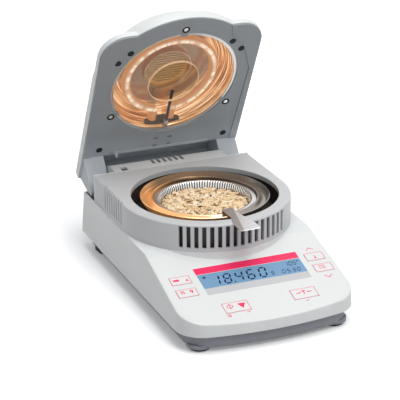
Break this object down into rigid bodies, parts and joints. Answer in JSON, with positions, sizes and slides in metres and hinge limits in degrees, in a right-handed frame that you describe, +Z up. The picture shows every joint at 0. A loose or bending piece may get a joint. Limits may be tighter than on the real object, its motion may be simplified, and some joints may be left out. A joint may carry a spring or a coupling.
{
  "type": "moisture analyzer",
  "caption": "Halogen moisture analyzer with its heater lid open over a slotted D-shaped chamber, sample pan, sloping keypad and display.",
  "frame": {"origin": "on the bench under the instrument, on its centreline, midway between the front edge and the back of the open lid", "axes": "+Z up; -Y is the front with the control panel, +Y the hinge and the connectors; +X to the right as the user sees it"},
  "size_m": [0.17, 0.3213, 0.2474],
  "materials": {
    "casing": "fine satin, cool white",
    "tray": "satin grey",
    "chamber": "satin mid grey",
    "well": "matt black",
    "lid_grey": "satin darker grey",
    "steel": "pressed sheet steel",
    "foil": "thin bright aluminium foil",
    "oats": "dry cream flakes",
    "aluminium": "machined",
    "screw": "zinc plated",
    "board": "green circuit board",
    "black": "moulded black",
    "laminate": "varnished laminations",
    "lcd": "blue liquid crystal",
    "window": "clear window",
    "overlay": "printed foil, white with red and grey areas",
    "key": "white with a thin red outline",
    "rubber": "soft rubber",
    "brass": "sintered bush",
    "nylon": "natural nylon",
    "reflector": "bright drawn reflector",
    "quartz": "quartz tube",
    "tungsten": "coiled wire",
    "ceramic": "ceramic",
    "glass": "heat-proof glass"
  },
  "bodies": {
    "base": {"top_casing": "casing", "bottom_tray": "tray", "casing_screws": "screw", "front_feet": "rubber", "chamber_frame": "chamber", "chamber_well": "well", "draft_shield": "steel", "floor_plate": "steel", "load_cell": "aluminium", "load_cell_bracket": "aluminium", "load_cell_screws": "screw", "main_board": "board", "power_board": "board", "transformer": "laminate", "display_board": "board", "lcd_module": "lcd", "display_window": "window", "board_screws": "screw", "panel_overlay": "overlay", "ac_inlet": "black", "serial_connector": "steel", "hinge_pins": "steel", "hinge_washers": "nylon", "lid_switch": "black"},
    "lid": {"lid_frame": "lid_grey", "lid_cover": "casing", "lid_screws": "screw", "reflector": "reflector", "collar_ring": "chamber", "vent_disc": "chamber", "heater_lamp": "quartz", "lamp_filament": "tungsten", "lamp_holder": "ceramic", "protective_glass": "glass", "glass_ring": "steel", "glass_clips": "steel", "clip_screws": "screw", "temperature_probe": "black", "hinge_bushes": "brass", "switch_peg": "lid_grey"},
    "handler": {"pan_handler": "steel"},
    "pan": {"sample_pan": "foil", "oat_sample": "oats"},
    "pan_support": {"pan_support": "aluminium"},
    "plunger": {"switch_plunger": "nylon"},
    "drawer": {"fuse_drawer": "black"},
    "pad_left": {"rear_foot_pad_left": "rubber"},
    "pad_right": {"rear_foot_pad_right": "rubber"},
    "screw_left": {"rear_foot_screw_left": "black"},
    "screw_right": {"rear_foot_screw_right": "black"},
    "print_key": {"print_key": "key"},
    "percent_key": {"percent_key": "key"},
    "power_key": {"power_key": "key"},
    "tare_key": {"tare_key": "key"},
    "temperature_key": {"temperature_key": "key"},
    "time_key": {"time_key": "key"}
  },
  "joints": [
    {"name": "lid_hinge", "type": "hinge", "parent": "base", "child": "lid", "pos_m": [0, 0.1105, 0.0663], "axis": [1, 0, 0], "range_deg": [0, 63]},
    {"name": "handler_lift", "type": "slide", "parent": "base", "child": "handler", "axis": [0, 0, -1], "range_m": [-0.04, 0]},
    {"name": "pan_lift", "type": "slide", "parent": "handler", "child": "pan", "axis": [0, 0, -1], "range_m": [-0.02, 0]},
    {"name": "pan_load", "type": "slide", "parent": "base", "child": "pan_support", "axis": [0, 0, 1], "range_m": [-0.0003, 0], "stiffness_N_per_m": 8000},
    {"name": "plunger_press", "type": "slide", "parent": "base", "child": "plunger", "axis": [0, 0, -1], "range_m": [0, 0.0008], "stiffness_N_per_m": 500},
    {"name": "fuse_drawer_slide", "type": "slide", "parent": "base", "child": "drawer", "axis": [0, 1, 0], "range_m": [0, 0.02]},
    {"name": "pad_left_level", "type": "slide", "parent": "base", "child": "pad_left", "axis": [0, 0, 1], "range_m": [-0.00401, 0]},
    {"name": "foot_left_turn", "type": "hinge", "parent": "pad_left", "child": "screw_left", "pos_m": [-0.067, 0.0937, 0.005], "axis": [0, 0, 1], "range_deg": [-1800, 0]},
    {"name": "pad_right_level", "type": "slide", "parent": "base", "child": "pad_right", "axis": [0, 0, 1], "range_m": [-0.00401, 0]},
    {"name": "foot_right_turn", "type": "hinge", "parent": "pad_right", "child": "screw_right", "pos_m": [0.067, 0.0937, 0.005], "axis": [0, 0, 1], "range_deg": [-1800, 0]},
    {"name": "print_key_press", "type": "slide", "parent": "base", "child": "print_key", "axis": [0, 0.2706, -0.9627], "range_m": [0, 0.0005], "stiffness_N_per_m": 1500},
    {"name": "percent_key_press", "type": "slide", "parent": "base", "child": "percent_key", "axis": [0, 0.2706, -0.9627], "range_m": [0, 0.0005], "stiffness_N_per_m": 1500},
    {"name": "power_key_press", "type": "slide", "parent": "base", "child": "power_key", "axis": [0, 0.2706, -0.9627], "range_m": [0, 0.0005], "stiffness_N_per_m": 1500},
    {"name": "tare_key_press", "type": "slide", "parent": "base", "child": "tare_key", "axis": [0, 0.2706, -0.9627], "range_m": [0, 0.0005], "stiffness_N_per_m": 1500},
    {"name": "temperature_key_press", "type": "slide", "parent": "base", "child": "temperature_key", "axis": [0, 0.2706, -0.9627], "range_m": [0, 0.0005], "stiffness_N_per_m": 1500},
    {"name": "time_key_press", "type": "slide", "parent": "base", "child": "time_key", "axis": [0, 0.2706, -0.9627], "range_m": [0, 0.0005], "stiffness_N_per_m": 1500}
  ],
  "couplings": [
    {"joint": "pad_left_level", "follows": "foot_left_turn", "m_per_rad": 0.00012732},
    {"joint": "pad_right_level", "follows": "foot_right_turn", "m_per_rad": 0.00012732}
  ]
}
